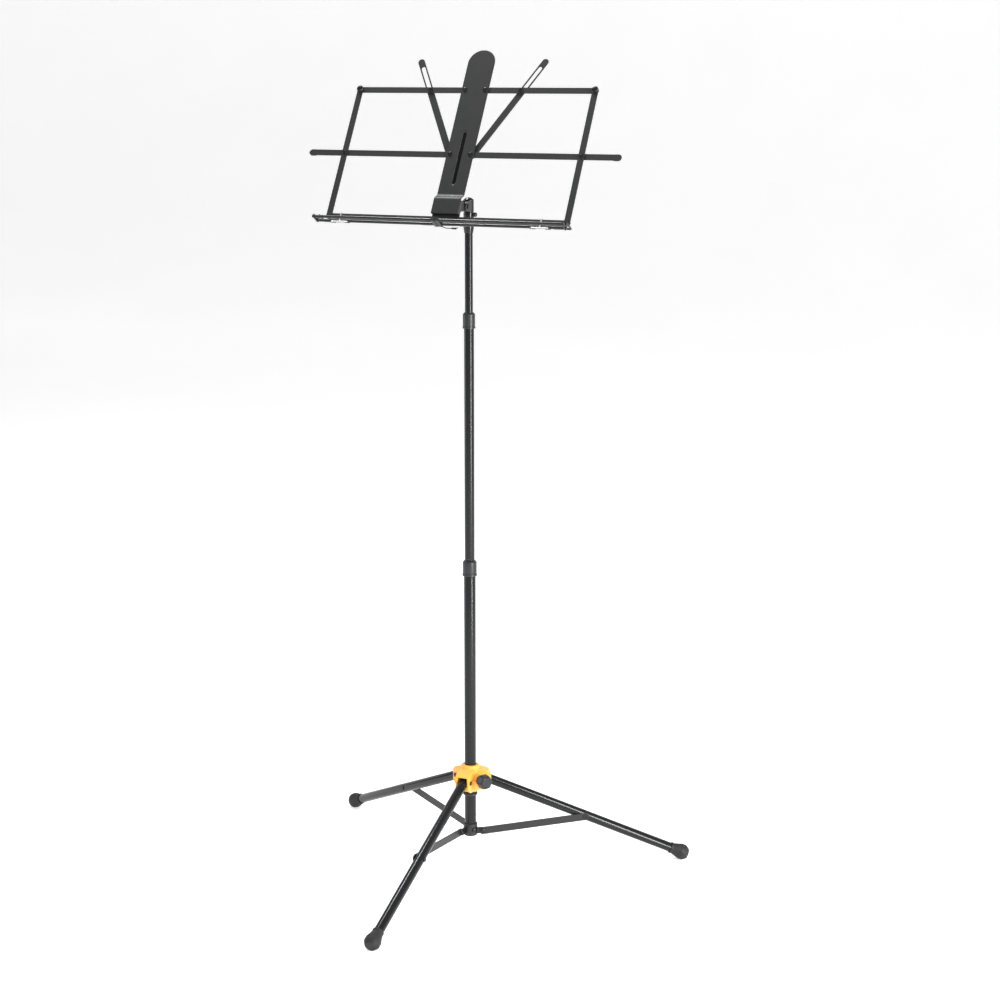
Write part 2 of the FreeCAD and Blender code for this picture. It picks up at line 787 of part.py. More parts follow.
def make_head():
    """Socket on the top tube, swivel barrel with the tilt fork, its pin and the thumb knob."""
    tube = dim("top_tube_radius")
    low = dim("socket_bottom")
    top = dim("socket_top")
    tube_top = dim("top_tube_top")
    radius = dim("socket_radius")
    spigot = dim("spigot_radius")
    bore = spigot + dim("running_gap")
    socket = new_body("head_socket")
    revolve(socket, [
        (tube, low), (tube + 0.6, low), (radius, low + 8), (radius, top), (bore, top),
        (bore, tube_top), (tube, tube_top),
    ])
    screw_line = sketch_on(socket, "YZ_Plane")
    draw_circle(screw_line, dim("head_screw_radius") + dim("rivet_hole_gap"), 0, dim("head_knob_height"))
    cut_deep(socket, screw_line, radius + 2, reversed_way=True)
    barrel_low = top + 0.3
    barrel_top = dim("barrel_top")
    barrel = dim("barrel_radius")
    ear = dim("tilt_ear_radius")
    forward = dim("tilt_forward")
    height = dim("tilt_height")
    body = new_body("head_barrel")
    revolve(body, [
        (0, tube_top + 1), (spigot, tube_top + 1), (spigot, barrel_low), (barrel, barrel_low),
        (barrel, barrel_top - 1), (barrel - 1, barrel_top), (barrel - 4, barrel_top + 2),
        (0, barrel_top + dim("barrel_dome")),
    ])
    inner = dim("tilt_ear_inner")
    for side in SIDES.values():
        near = inner if side > 0 else -inner - dim("tilt_ear_thickness")
        sketch = sketch_on(body, "YZ_Plane", offset=near)
        draw_polygon(sketch, [
            (-forward, height - ear), (-2, height - ear), (-2, height + ear), (-forward, height + ear),
        ])
        pad(body, sketch, dim("tilt_ear_thickness"))
        eye = sketch_on(body, "YZ_Plane", offset=near)
        draw_circle(eye, ear, -forward, height)
        pad(body, eye, dim("tilt_ear_thickness"))
    hole = sketch_on(body, "YZ_Plane")
    draw_circle(hole, dim("tilt_pin_radius"), -forward, height)
    cut_through(body, hole)
    outside = inner + dim("tilt_ear_thickness")
    across = at(0, -forward, height) * turned_by(Y_AXIS, 90)
    keep(rivet(-outside, outside, dim("tilt_pin_radius"), across), "tilt_pin")
    out = at(0, 0, dim("head_knob_height")) * turned_by(Y_AXIS, 90)
    knob = dim("head_knob_radius")
    reach = dim("head_knob_reach")
    face = radius + 0.3
    screw = dim("head_screw_radius")
    fluted_knob("head_thumb_knob", [
        (0, spigot + 0.4), (screw, spigot + 0.4), (screw, face), (knob - 0.6, face),
        (knob, face + 0.8), (knob, reach - 0.8), (knob - 0.8, reach), (0, reach),
    ], knob, Size(0.9, "0.9"), 10, out)


# ------------------------------------------------------------------- the desk


def layer(number):
    """The back of a desk layer: 0 is the spine's, 1 the rails', 2 the props'."""
    return -dim("sheet_thickness") - dim("layer_pitch") * number


def pivot_in_desk():
    """The tilt pin's h and t in the desk's frame."""
    lean = dim("desk_lean")
    back = dim("desk_forward") - dim("tilt_forward")
    up = dim("tilt_height") - dim("desk_height")
    return back * sine(lean) + up * cosine(lean), up * sine(lean) - back * cosine(lean)


def make_spine():
    """Pressed spine plate: stepped forward at the bottom, round at the top."""
    body = new_body("spine_plate")
    thick = dim("sheet_thickness")
    step = dim("spine_step")
    low = dim("spine_bottom")
    high = dim("spine_top")
    start = dim("spine_step_start")
    end = dim("spine_step_end")
    half = dim("spine_half_width")
    side = sketch_on(body, "YZ_Plane")
    draw_polygon(side, [
        (low, step), (start, step), (end, 0), (high, 0), (high, -thick),
        (end - 0.6, -thick), (start - 0.6, step - thick), (low, step - thick),
    ])
    pad(body, side, half * 2, midplane=True)
    crown = sketch_on(body, "XY_Plane")
    draw_crown(crown, half, high)
    cut_through(body, crown)
    groove = sketch_on(body, "XY_Plane", turn=90.0)
    width = dim("groove_half_width")
    draw_slot(groove, dim("groove_bottom") + width, dim("groove_top") - width, width)
    cut_deep(body, groove, dim("groove_depth"))
    holes = sketch_on(body, "XY_Plane")
    for row in ("mid_row", "top_row"):
        for side in SIDES.values():
            draw_circle(holes, dim("rivet_radius"), dim("spine_pivot") * side, dim(row))
    cut_through(body, holes)
    body.Placement = desk_frame()


def draw_crown(sketch, half, high):
    """What is cut away above the spine's round top."""
    centre_h = high - half
    r = half.value
    wide = r + 8
    tall = high.value + 8
    centre = FreeCAD.Vector(0, centre_h.value, 0)
    left = FreeCAD.Vector(-r, centre_h.value, 0)
    right = FreeCAD.Vector(r, centre_h.value, 0)
    corners = [
        right, FreeCAD.Vector(wide, centre_h.value, 0), FreeCAD.Vector(wide, tall, 0),
        FreeCAD.Vector(-wide, tall, 0), FreeCAD.Vector(-wide, centre_h.value, 0), left,
    ]
    sketch.addGeometry(Part.ArcOfCircle(Part.Circle(centre, Z_AXIS, r), 0, math.pi))
    for a, b in zip(corners, corners[1:]):
        sketch.addGeometry(Part.LineSegment(a, b))
    for number in range(1, 5):
        sketch.addConstraint(Sketcher.Constraint("Coincident", number, 2, number + 1, 1))
    sketch.addConstraint(Sketcher.Constraint("Coincident", 0, 1, 1, 1))
    sketch.addConstraint(Sketcher.Constraint("Coincident", 5, 2, 0, 2))
    for number in (1, 3, 5):
        sketch.addConstraint(Sketcher.Constraint("Horizontal", number))
    for number in (2, 4):
        sketch.addConstraint(Sketcher.Constraint("Vertical", number))
    pin_point(sketch, 0, 3, 0, centre_h)
    number = sketch.addConstraint(Sketcher.Constraint("Radius", 0, r))
    bind(sketch, f"Constraints[{number}]", half)


def make_desk_bracket():
    """Channel behind the spine's foot that carries the lower pivots and the tilt arm."""
    body = new_body("desk_bracket")
    half = dim("spine_half_width")
    thick = dim("sheet_thickness")
    low = dim("bracket_bottom")
    top = dim("bracket_top")
    back = sketch_on(body, "XY_Plane", offset=-thick)
    draw_polygon(back, [(-half, low), (half, low), (half, top), (-half, top)])
    pad(body, back, thick)
    for near in (-half, half - thick):
        cheek = sketch_on(body, "XY_Plane")
        start = dim("spine_bottom") + 1
        draw_polygon(cheek, [(near, start), (near + thick, start), (near + thick, top), (near, top)])
        pad(body, cheek, dim("spine_step") - thick)
    holes = sketch_on(body, "XY_Plane")
    for side in SIDES.values():
        draw_circle(holes, dim("rivet_radius"), dim("spine_pivot") * side, 0)
        draw_circle(holes, dim("rivet_radius"), side * 7.5, 19.5)
    cut_through(body, holes)
    body.Placement = desk_frame()


def make_tilt_arm():
    """Arm from the tilt pin to a flange on the back of the desk bracket."""
    body = new_body("tilt_arm")
    h, t = pivot_in_desk()
    lean = dim("desk_lean")
    thick = dim("sheet_thickness")
    flange = -thick - 2.4
    half = dim("tilt_arm_half_width")
    radius = dim("tilt_arm_radius")
    up, out = cosine(lean) * radius, sine(lean) * radius
    run = (flange - t) * tangent(lean)
    spread = radius / cosine(lean)
    beam = sketch_on(body, "YZ_Plane")
    draw_polygon(beam, [
        (h + up, t + out), (h - up, t - out), (h - run - spread, flange), (h - run + spread, flange),
    ])
    pad(body, beam, half * 2, midplane=True)
    eye = sketch_on(body, "YZ_Plane")
    draw_circle(eye, radius, h, t)
    pad(body, eye, half * 2, midplane=True)
    plate = sketch_on(body, "XY_Plane", offset=flange)
    draw_polygon(plate, [(-11.5, 9), (11.5, 9), (11.5, 29), (-11.5, 29)])
    pad(body, plate, 2.4)
    hole = sketch_on(body, "YZ_Plane")
    draw_circle(hole, dim("tilt_pin_radius") + dim("rivet_hole_gap"), h, t)
    cut_through(body, hole)
    holes = sketch_on(body, "XY_Plane")
    for side in SIDES.values():
        draw_circle(holes, dim("rivet_radius"), side * 7.5, 19.5)
    cut_through(body, holes)
    body.Placement = desk_frame()
    return flange


def make_spine_rivets(flange):
    """The six pivot rivets on the spine and bracket, and the two that hold the arm."""
    frame = desk_frame()
    radius = dim("rivet_radius")
    gap = dim("running_gap")
    rivets = []
    for side in SIDES.values():
        x = dim("spine_pivot") * side
        rivets.append(rivet(layer(1) - gap, 0, radius, frame * at(x, 0, 0)))
        rivets.append(rivet(layer(2) - gap, 0, radius, frame * at(x, dim("mid_row"), 0)))
        flush = frame * at(x, dim("top_row"), 0)
        rivets.append(rivet(layer(1), 0, radius, flush, first_head=False))
        rivets.append(rivet(flange, 0, radius, frame * at(side * 7.5, 19.5, 0)))
    group("spine_rivets", rivets)


def make_half(name, side):
    """The folding half of the desk on one side of the spine."""
    frame = desk_frame()
    near = dim("spine_pivot")
    far = dim("side_pivot")
    width = dim("bar_half_width")
    thick = dim("sheet_thickness")
    gap = dim("running_gap")
    facing = 0.0 if side > 0 else 180.0
    link = far - near
    rails = {
        "bottom_rail": (0, link, [0, link]),
        "mid_arm": (dim("mid_row"), dim("mid_arm_tip") - near, [0, link]),
        "top_rail": (dim("top_row"), link, [0, dim("prop_pin_out"), link]),
    }
    for label, (row, end, holes) in rails.items():
        place = frame * at(near * side, row, layer(1)) * turned_by(Z_AXIS, facing)
        bar_body(f"{label}_{name}", 0, end, width, thick, holes, place)
    upright = frame * at(far * side, 0, layer(0)) * turned_by(Z_AXIS, 90.0)
    rows = [0, dim("mid_row"), dim("top_row")]
    bar_body(f"side_bar_{name}", 0, dim("top_row"), width, thick, rows, upright)
    rivets = []
    for row in rows:
        rivets.append(rivet(layer(1) - gap, 0, dim("rivet_radius"), frame * at(far * side, row, 0)))
    group(f"side_rivets_{name}", rivets)
    make_prop(name, side)
    make_ledge(name, side)
    make_clip(name, side)


def prop_lean():
    """The prop's angle from the spine, through its pin on the top rail."""
    rise = dim("top_row").value - dim("mid_row").value
    return math.degrees(math.atan2(dim("prop_pin_out").value, rise))


def make_prop(name, side):
    """Slotted prop arm behind the rails, and the pin on the top rail that runs in its slot."""
    frame = desk_frame()
    half = dim("prop_half_width")
    offset = dim("prop_slot_offset") * -side
    body = new_body(f"prop_arm_{name}")
    outline = sketch_on(body, "XY_Plane")
    draw_slot(outline, 0, dim("prop_length") - half, half, offset)
    pad(body, outline, dim("sheet_thickness"))
    slot = sketch_on(body, "XY_Plane")
    width = dim("prop_slot_half_width")
    draw_slot(slot, dim("prop_slot_start") + width, dim("prop_slot_end") - width, width, offset)
    cut_through(body, slot)
    eye = sketch_on(body, "XY_Plane")
    draw_circle(eye, dim("rivet_radius") + dim("rivet_hole_gap"))
    cut_through(body, eye)
    foot = frame * at(dim("spine_pivot") * side, dim("mid_row"), layer(2))
    body.Placement = foot * turned_by(Z_AXIS, 90 - side * prop_lean())
    x = (dim("spine_pivot") + dim("prop_pin_out")) * side
    place = frame * at(x, dim("top_row"), 0)
    gap = dim("running_gap")
    front = layer(1) + dim("sheet_thickness")
    pin = rivet(layer(2) - gap, front, dim("prop_pin_radius"), place)
    keep(pin, f"prop_pin_{name}")


def desk_box(side, xs, hs, ts):
    """A box in the desk's frame, given for the right side and mirrored for the left."""
    x0 = xs[0] if side > 0 else -as_size(xs[1])
    lengths = (as_size(xs[1]) - xs[0], as_size(hs[1]) - hs[0], as_size(ts[1]) - ts[0])
    return box(lengths, desk_frame() * at(x0, hs[0], ts[0]))


def make_ledge(name, side):
    """Two rods that the pages stand on, and the brackets that hold them to the lower rail."""
    frame = desk_frame()
    rod = dim("ledge_rod_radius")
    inner = dim("ledge_inner")
    block = inner + dim("ledge_inner_block")
    outer = dim("ledge_outer")
    end = dim("ledge_end_plate")
    thick = dim("sheet_thickness")
    drop = -dim("ledge_drop")
    facing = turned_by(Y_AXIS, 90.0 * side)
    reaches = (dim("ledge_rear"), dim("ledge_front"))
    low = dim("ledge_plate_low")
    high = dim("ledge_plate_top")
    strap_low = dim("ledge_strap_low")
    strap_high = dim("ledge_strap_high")
    back = layer(1) - thick
    margin = dim("ledge_plate_margin")
    front = dim("ledge_front") + rod + margin
    near = dim("ledge_rear") - rod - margin
    strap = dim("ledge_strap_start")
    step = dim("ledge_strap_step")
    support = dim("ledge_support")
    link = dim("ledge_link")
    strap_top = dim("ledge_strap_top")
    foot = dim("ledge_foot_length")
    behind = (back, layer(1))
    rods = []
    for out in reaches:
        start = frame * at(block * side, drop, out) * facing
        rods.append(cylinder(rod, outer - block, start))
    group(f"ledge_rods_{name}", rods)
    end_plate = doc.addObject("Part::MultiFuse", f"ledge_end_plate_{name}")
    end_plate.Shapes = [
        desk_box(side, (strap, step), (strap_low, strap_top), behind),
        desk_box(side, (strap, end + thick), (strap_low, strap_high), behind),
        desk_box(side, (end, end + thick), (strap_low, strap_high), (back, near)),
        desk_box(side, (end, end + thick), (high - link, strap_high), (near - link, near + link)),
        desk_box(side, (end, end + thick), (low, high), (near, front)),
    ]
    rod_holes = doc.addObject("Part::MultiFuse", f"ledge_rod_holes_{name}")
    rod_holes.Shapes = [
        cylinder(rod, thick * 3, frame * at((end - thick) * side, drop, out) * facing) for out in reaches
    ]
    drilled = doc.addObject("Part::Cut", f"ledge_end_bracket_{name}")
    drilled.Base = end_plate
    drilled.Tool = rod_holes
    inner_bracket = doc.addObject("Part::MultiFuse", f"ledge_inner_bracket_{name}")
    inner_bracket.Shapes = [
        desk_box(side, (support, support + foot), (strap_low, strap_top), behind),
        desk_box(side, (support, support + thick), (strap_low, strap_high), (back, near)),
        desk_box(side, (inner, support + thick), (low + 2, strap_high), (near - thick, near)),
        desk_box(side, (inner, block), (low, high + 1), (near - thick, front)),
    ]
    group(f"ledge_brackets_{name}", [drilled, inner_bracket])


def make_latch():
    """Bent wire under the ledge that hooks the two halves together, on the right half."""
    radius = dim("ledge_latch_radius")
    start = dim("ledge_inner") + dim("ledge_inner_block") + radius + 0.4
    line = desk_frame() * at(start, dim("ledge_plate_low") - radius - 0.4, dim("ledge_rear"))
    long = dim("ledge_latch_length")
    sag = -dim("ledge_latch_sag")
    wires = wire([(0, 0, 0), (long * 0.25, sag, 0), (long * 0.8, sag, 0), (long, sag * 0.5, 0)], radius, line)
    hook = cylinder(radius, 5.0, line * at(0, 0, -2.5))
    thick = dim("ledge_latch_grip_radius")
    grip = cylinder(thick, dim("ledge_latch_grip"), line * at(long * 0.6, sag, 0) * turned_by(Y_AXIS, 90.0))
    fuse("ledge_latch", wires + [hook, grip])


def make_clip(name, side):
    """Page clip: two sleeves on the rear rod joined by a bent wire that stands up."""
    frame = desk_frame()
    radius = dim("clip_sleeve_radius")
    long = dim("clip_sleeve_length")
    thin = dim("clip_wire_radius")
    start = dim("clip_start")
    if side < 0:
        start = -start - dim("clip_length")
    line = frame * at(start, -dim("ledge_drop"), dim("ledge_rear"))
    along = turned_by(Y_AXIS, 90.0)
    length = dim("clip_length")
    sleeves = [cylinder(radius, long, line * at(x, 0, 0) * along) for x in (0, length - long)]
    proud = radius - thin * 0.1
    low = -radius + thin * 1.2
    rise = length * 0.5
    top = dim("clip_upright")
    run = wire([
        (rise, top, proud - 2.5), (rise, top - 2, proud), (rise, low, proud), (length - 3, low, proud),
    ], thin, line)
    hold = wire([(3, low, proud), (rise, low, proud)], thin, line)
    solid = doc.addObject("Part::MultiFuse", f"page_clip_{name}_solid")
    solid.Shapes = sleeves + run + hold
    bore = dim("ledge_rod_radius") + dim("running_gap")
    hole = cylinder(bore, length + 4, line * at(-2, 0, 0) * along)
    clip = doc.addObject("Part::Cut", f"page_clip_{name}_cut")
    clip.Base = solid
    clip.Tool = hole
    keep(clip, f"page_clip_{name}")


# --------------------------------------------------------------- build, check


def check_and_export():
    """Stop at any failed object or bad shape, then write one STEP file per node."""
    doc.recompute()
    for item in doc.Objects:
        bad = [state for state in item.State if state in ("Invalid", "Error")]
        if bad:
            raise RuntimeError(f"{item.Name} ({item.Label}) is {bad}")
    os.makedirs("parts", exist_ok=True)
    for node in nodes:
        shape = node.Shape
        if shape.isNull() or not shape.isValid() or not shape.Solids:
            raise RuntimeError(f"{node.Label} has no valid solid")
    for node in nodes:
        node.Shape.exportStep(os.path.join("parts", f"{node.Label}.step"))
    print(len(nodes), "nodes")


fill_sheet()
make_mast()
make_strut_collar()
make_hub_knob(make_hub())
for leg_name, leg_turn in LEG_TURNS.items():
    make_leg(leg_name, leg_turn)
    make_strut(leg_name, leg_turn)
make_head()
make_spine()
make_desk_bracket()
make_spine_rivets(make_tilt_arm())
for side_name, side_sign in SIDES.items():
    make_half(side_name, side_sign)
make_latch()
check_and_export()
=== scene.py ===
import json
import math

import bmesh
import bpy
from mathutils import Matrix, Vector


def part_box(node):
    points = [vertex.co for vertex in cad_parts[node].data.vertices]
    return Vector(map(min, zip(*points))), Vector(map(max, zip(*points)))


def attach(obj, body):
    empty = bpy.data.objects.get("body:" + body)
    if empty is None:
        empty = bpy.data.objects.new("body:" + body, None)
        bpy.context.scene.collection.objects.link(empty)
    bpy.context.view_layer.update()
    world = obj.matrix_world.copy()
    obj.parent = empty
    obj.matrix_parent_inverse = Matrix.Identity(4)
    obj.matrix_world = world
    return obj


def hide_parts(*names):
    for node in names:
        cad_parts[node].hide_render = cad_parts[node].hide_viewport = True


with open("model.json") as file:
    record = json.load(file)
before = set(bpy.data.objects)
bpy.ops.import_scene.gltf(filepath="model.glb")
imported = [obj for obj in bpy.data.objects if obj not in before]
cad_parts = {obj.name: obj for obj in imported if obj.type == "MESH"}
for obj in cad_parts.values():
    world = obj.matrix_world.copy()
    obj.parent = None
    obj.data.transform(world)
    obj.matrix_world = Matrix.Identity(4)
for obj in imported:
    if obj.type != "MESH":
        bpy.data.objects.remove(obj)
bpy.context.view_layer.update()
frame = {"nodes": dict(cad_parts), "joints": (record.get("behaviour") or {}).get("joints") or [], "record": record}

MM = 0.001
FULL_TURN = 2 * math.pi
SIDES = {"right": 1, "left": -1}
LEG_NAMES = ("front", "right", "left")
JOINTS = {joint["name"]: joint for joint in frame["joints"]}


# Places read from the frame


def joint_place(name):
    """The point a joint turns about, in metres."""
    return Vector(JOINTS[name]["pos_m"])


def joint_axis(name):
    return Vector(JOINTS[name]["axis"]).normalized()


def looking_along(origin, axis):
    """A placement whose local Z runs along axis from origin."""
    return Matrix.Translation(origin) @ Vector(axis).to_track_quat("Z", "Y").to_matrix().to_4x4()


def desk_matrix():
    """The desk's own axes: X to the right, Y up the desk, Z out of its face, in millimetres."""
    middle = (joint_place("bottom_rail_fold_right") + joint_place("bottom_rail_fold_left")) / 2
    out = joint_axis("bottom_rail_fold_right")
    across = Vector((1, 0, 0))
    up = out.cross(across)
    turn = Matrix((across, up, out)).transposed().to_4x4()
    return Matrix.Translation(middle) @ turn @ Matrix.Scale(MM, 4)


DESK = desk_matrix()


# Materials


# A noise value spreads over about the middle of 0 to 1, and these are the ends of the part that is used.
NOISE_LOW = 0.3
NOISE_HIGH = 0.7
BLEND_START = 0.35
BLEND_END = 0.65


class Finish:
    """A node material built round one Principled shader."""

    def __init__(self, name, **sockets):
        self.material = bpy.data.materials.new(name)
        self.material.use_nodes = True
        self.tree = self.material.node_tree
        self.shader = self.tree.nodes["Principled BSDF"]
        self.place = self.tree.nodes.new("ShaderNodeTexCoord").outputs["Object"]
        for socket, value in sockets.items():
            self.shader.inputs[socket.replace("_", " ")].default_value = value

    def link(self, source, target):
        self.tree.links.new(source, target)

    def noise(self, scale, detail=4.0, rough=0.55):
        node = self.tree.nodes.new("ShaderNodeTexNoise")
        node.inputs["Scale"].default_value = scale
        node.inputs["Detail"].default_value = detail
        node.inputs["Roughness"].default_value = rough
        self.link(self.place, node.inputs["Vector"])
        return node.outputs["Fac"]

    def spread(self, source, low, high):
        """Maps a noise value onto low to high."""
        node = self.tree.nodes.new("ShaderNodeMapRange")
        node.inputs["From Min"].default_value = NOISE_LOW
        node.inputs["From Max"].default_value = NOISE_HIGH
        node.inputs["To Min"].default_value = low
        node.inputs["To Max"].default_value = high
        self.link(source, node.inputs["Value"])
        return node.outputs["Result"]

    def colours(self, source, first, second):
        """Blends two base colours by a noise value."""
        ramp = self.tree.nodes.new("ShaderNodeValToRGB")
        ramp.color_ramp.elements[0].position = BLEND_START
        ramp.color_ramp.elements[1].position = BLEND_END
        ramp.color_ramp.elements[0].color = (*first, 1)
        ramp.color_ramp.elements[1].color = (*second, 1)
        self.link(source, ramp.inputs["Fac"])
        self.link(ramp.outputs["Color"], self.shader.inputs["Base Color"])

    def roughness(self, source, low, high):
        self.link(self.spread(source, low, high), self.shader.inputs["Roughness"])

    def bump(self, source, depth, strength):
        """Adds relief of the given depth in metres."""
        node = self.tree.nodes.new("ShaderNodeBump")
        node.inputs["Strength"].default_value = strength
        node.inputs["Distance"].default_value = depth
        self.link(source, node.inputs["Height"])
        self.link(node.outputs["Normal"], self.shader.inputs["Normal"])


def powder_coat(name, first, second, smooth, rough, ior=1.46):
    """Powder coat: fine orange peel over a softly varied dark colour."""
    finish = Finish(name, IOR=ior)
    finish.colours(finish.noise(300, 5, 0.7), first, second)
    finish.roughness(finish.noise(110, 5), smooth, rough)
    finish.bump(finish.noise(2200, 2), 0.000005, 0.3)
    return finish.material


def moulded_plastic(name, first, second, smooth, rough):
    """Moulded plastic with a fine spark-eroded grain and slight colour flow."""
    finish = Finish(name, IOR=1.48)
    finish.colours(finish.noise(45, 4), first, second)
    finish.roughness(finish.noise(140, 4), smooth, rough)
    finish.bump(finish.noise(2600, 3), 0.00002, 0.5)
    return finish.material


def rubber(name):
    """Dull rubber with dust in its grain."""
    finish = Finish(name, IOR=1.5, Specular_IOR_Level=0.35)
    finish.colours(finish.noise(160, 6, 0.7), (0.011, 0.011, 0.012), (0.02, 0.0195, 0.019))
    finish.roughness(finish.noise(220, 5), 0.5, 0.72)
    finish.bump(finish.noise(1100, 4), 0.00006, 0.7)
    return finish.material


def painted_groove_shade_black(name):
    """Dead matt black, painted shade for the bottom of a pressed groove: it stands in for the shadow there."""
    finish = Finish(name, Specular_IOR_Level=0.1, Roughness=0.8)
    # Near-black colours of painted shade, standing in for the shadow inside the groove.
    finish.colours(finish.noise(400, 4), (0.0008, 0.0008, 0.0009), (0.0018, 0.0018, 0.002))
    finish.bump(finish.noise(1500, 3), 0.00002, 0.4)
    return finish.material


def metal(name, first, second, smooth, rough):
    """Bare or blackened metal with fine drawn scratches."""
    finish = Finish(name, Metallic=1.0)
    finish.colours(finish.noise(180, 4), first, second)
    finish.roughness(finish.noise(500, 5), smooth, rough)
    finish.bump(finish.noise(2400, 3), 0.00001, 0.6)
    return finish.material


MATERIALS = {
    "black_tube": powder_coat(
        "tube_powder_coat", (0.007, 0.0073, 0.008), (0.0085, 0.0088, 0.0095), 0.19, 0.215, ior=1.37,
    ),
    "black_bar": powder_coat(
        "bar_powder_coat", (0.0132, 0.0135, 0.0143), (0.0158, 0.0161, 0.017), 0.42, 0.49,
    ),
    "head_coat": powder_coat("head_gloss_coat", (0.006, 0.006, 0.007), (0.01, 0.01, 0.011), 0.12, 0.18),
    "rod_steel": powder_coat("rod_semi_gloss", (0.008, 0.0083, 0.009), (0.013, 0.0133, 0.014), 0.18, 0.25),
    "black_plastic": moulded_plastic(
        "black_plastic", (0.011, 0.0115, 0.013), (0.016, 0.0165, 0.018), 0.32, 0.42,
    ),
    "bush_plastic": moulded_plastic("bush_plastic", (0.011, 0.011, 0.011), (0.018, 0.018, 0.018), 0.4, 0.5),
    "hub_plastic": moulded_plastic("amber_plastic", (0.77, 0.40, 0.06), (0.82, 0.43, 0.07), 0.32, 0.4),
    "foot_rubber": rubber("foot_rubber"),
    "dark_steel": metal("blackened_steel", (0.03, 0.03, 0.032), (0.05, 0.05, 0.053), 0.28, 0.4),
    "clip_wire": metal("nickel_wire", (0.7, 0.69, 0.66), (0.85, 0.84, 0.81), 0.26, 0.36),
}


# Mesh helpers


def finish_piece(piece, body, slot, *nodes):
    """Gives a new piece its material, its body and the CAD nodes it stands for."""
    if not piece.data.materials:
        piece.data.materials.append(MATERIALS[slot])
    if nodes:
        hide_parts(*nodes)
    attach(piece, body)
    return piece


def piece_from(mesh_source, name, matrix=Matrix()):
    """Turns a bmesh into an object with smooth faces, with the placement baked into its vertices."""
    bmesh.ops.recalc_face_normals(mesh_source, faces=mesh_source.faces)
    mesh = bpy.data.meshes.new(name)
    mesh_source.to_mesh(mesh)
    mesh_source.free()
    mesh.transform(matrix)
    mesh.shade_smooth()
    piece = bpy.data.objects.new(name, mesh)
    bpy.context.scene.collection.objects.link(piece)
    return piece


def lathe(outline, steps=72, swell=None):
    """A bmesh turned about Z from (radius, height) points. swell(angle, height) scales the radius.
    An outline that starts and ends on the axis is closed there; any other is joined end to start."""
    turned = bmesh.new()
    rings = []
    for radius, height in outline:
        if radius == 0:
            rings.append([turned.verts.new((0, 0, height))])
            continue
        ring = []
        for step in range(steps):
            angle = FULL_TURN * step / steps
            reach = radius * (swell(angle, height) if swell else 1)
            ring.append(turned.verts.new((reach * math.cos(angle), reach * math.sin(angle), height)))
        rings.append(ring)
    pairs = list(zip(rings, rings[1:]))
    if len(rings[0]) > 1:
        pairs.append((rings[-1], rings[0]))
    for low, high in pairs:
        for step in range(steps):
            after = (step + 1) % steps
            corners = [
                low[step % len(low)], low[after % len(low)], high[after % len(high)], high[step % len(high)],
            ]
            turned.faces.new(list(dict.fromkeys(corners)))
    return turned


def rounded(points, radius, steps=4):
    """An outline with each inner corner replaced by an arc-like curve of about the given radius."""
    curve = [points[0]]
    for before, corner, after in zip(points, points[1:], points[2:]):
        here = Vector(corner)
        into = Vector(before) - here
        out = Vector(after) - here
        cut = min(radius, into.length * 0.45, out.length * 0.45)
        start = here + into.normalized() * cut
        end = here + out.normalized() * cut
        for step in range(steps + 1):
            share = step / steps
            spot = start * (1 - share) ** 2 + here * 2 * share * (1 - share) + end * share ** 2
            curve.append(tuple(spot))
    curve.append(points[-1])
    return curve


def wire_piece(name, points, radius, matrix):
    """A bent wire through the points, as a mesh."""
    curve = bpy.data.curves.new(name + "_path", "CURVE")
    curve.dimensions = "3D"
    curve.bevel_depth = radius
    curve.bevel_resolution = 4
    curve.use_fill_caps = True
    curve.resolution_u = 6
    spline = curve.splines.new("NURBS")
    spline.points.add(len(points) - 1)
    for point, place in zip(spline.points, points):
        point.co = (*place, 1)
    spline.use_endpoint_u = True
    spline.order_u = 3
    holder = bpy.data.objects.new(name + "_path", curve)
    bpy.context.scene.collection.objects.link(holder)
    bpy.context.view_layer.update()
    mesh = bpy.data.meshes.new_from_object(holder)
    bpy.data.objects.remove(holder)
    mesh.transform(matrix)
    mesh.shade_smooth()
    piece = bpy.data.objects.new(name, mesh)
    bpy.context.scene.collection.objects.link(piece)
    return piece


def plate(outline, low, high, edge):
    """A flat plate with a rounded rim: outline in X and Y, from low to high in Z."""
    solid = bmesh.new()
    base = solid.faces.new([solid.verts.new((x, y, low)) for x, y in outline])
    raised = bmesh.ops.extrude_face_region(solid, geom=[base])
    moved = [item for item in raised["geom"] if isinstance(item, bmesh.types.BMVert)]
    bmesh.ops.translate(solid, verts=moved, vec=(0, 0, high - low))
    rims = [item for item in solid.edges if len({round(v.co.z, 6) for v in item.verts}) == 1]
    bmesh.ops.bevel(solid, geom=rims, offset=edge, segments=3, profile=0.5, affect="EDGES")
    return solid


def stadium(centre, half_length, half_width, steps=10):
    """A long round-ended outline along X."""
    outline = []
    for end in (1, -1):
        for step in range(steps + 1):
            angle = math.pi * (step / steps - 0.5) + (0 if end > 0 else math.pi)
            x = centre[0] + end * (half_length - half_width) + half_width * math.cos(angle)
            outline.append((x, centre[1] + half_width * math.sin(angle)))
    return outline


# Carried-over CAD nodes


SHARP_EDGE = math.radians(35)
FLAT_ENOUGH = math.radians(0.5)
WELD_GAP = 0.00001
MOULDING_VOXEL = 0.0005


def soften(node, width):
    """Rounds a CAD node's edges and shades it smooth, leaving its own mesh as it is."""
    weld = node.modifiers.new("weld", "WELD")
    weld.merge_threshold = WELD_GAP
    flat = node.modifiers.new("flat", "DECIMATE")
    flat.decimate_type = "DISSOLVE"
    flat.angle_limit = FLAT_ENOUGH
    edge = node.modifiers.new("edge", "BEVEL")
    edge.width = width
    edge.segments = 3
    edge.limit_method = "ANGLE"
    edge.angle_limit = SHARP_EDGE
    edge.use_clamp_overlap = False
    flat_normals = node.modifiers.new("flat_normals", "WEIGHTED_NORMAL")
    flat_normals.weight = 90
    node.data.shade_smooth()


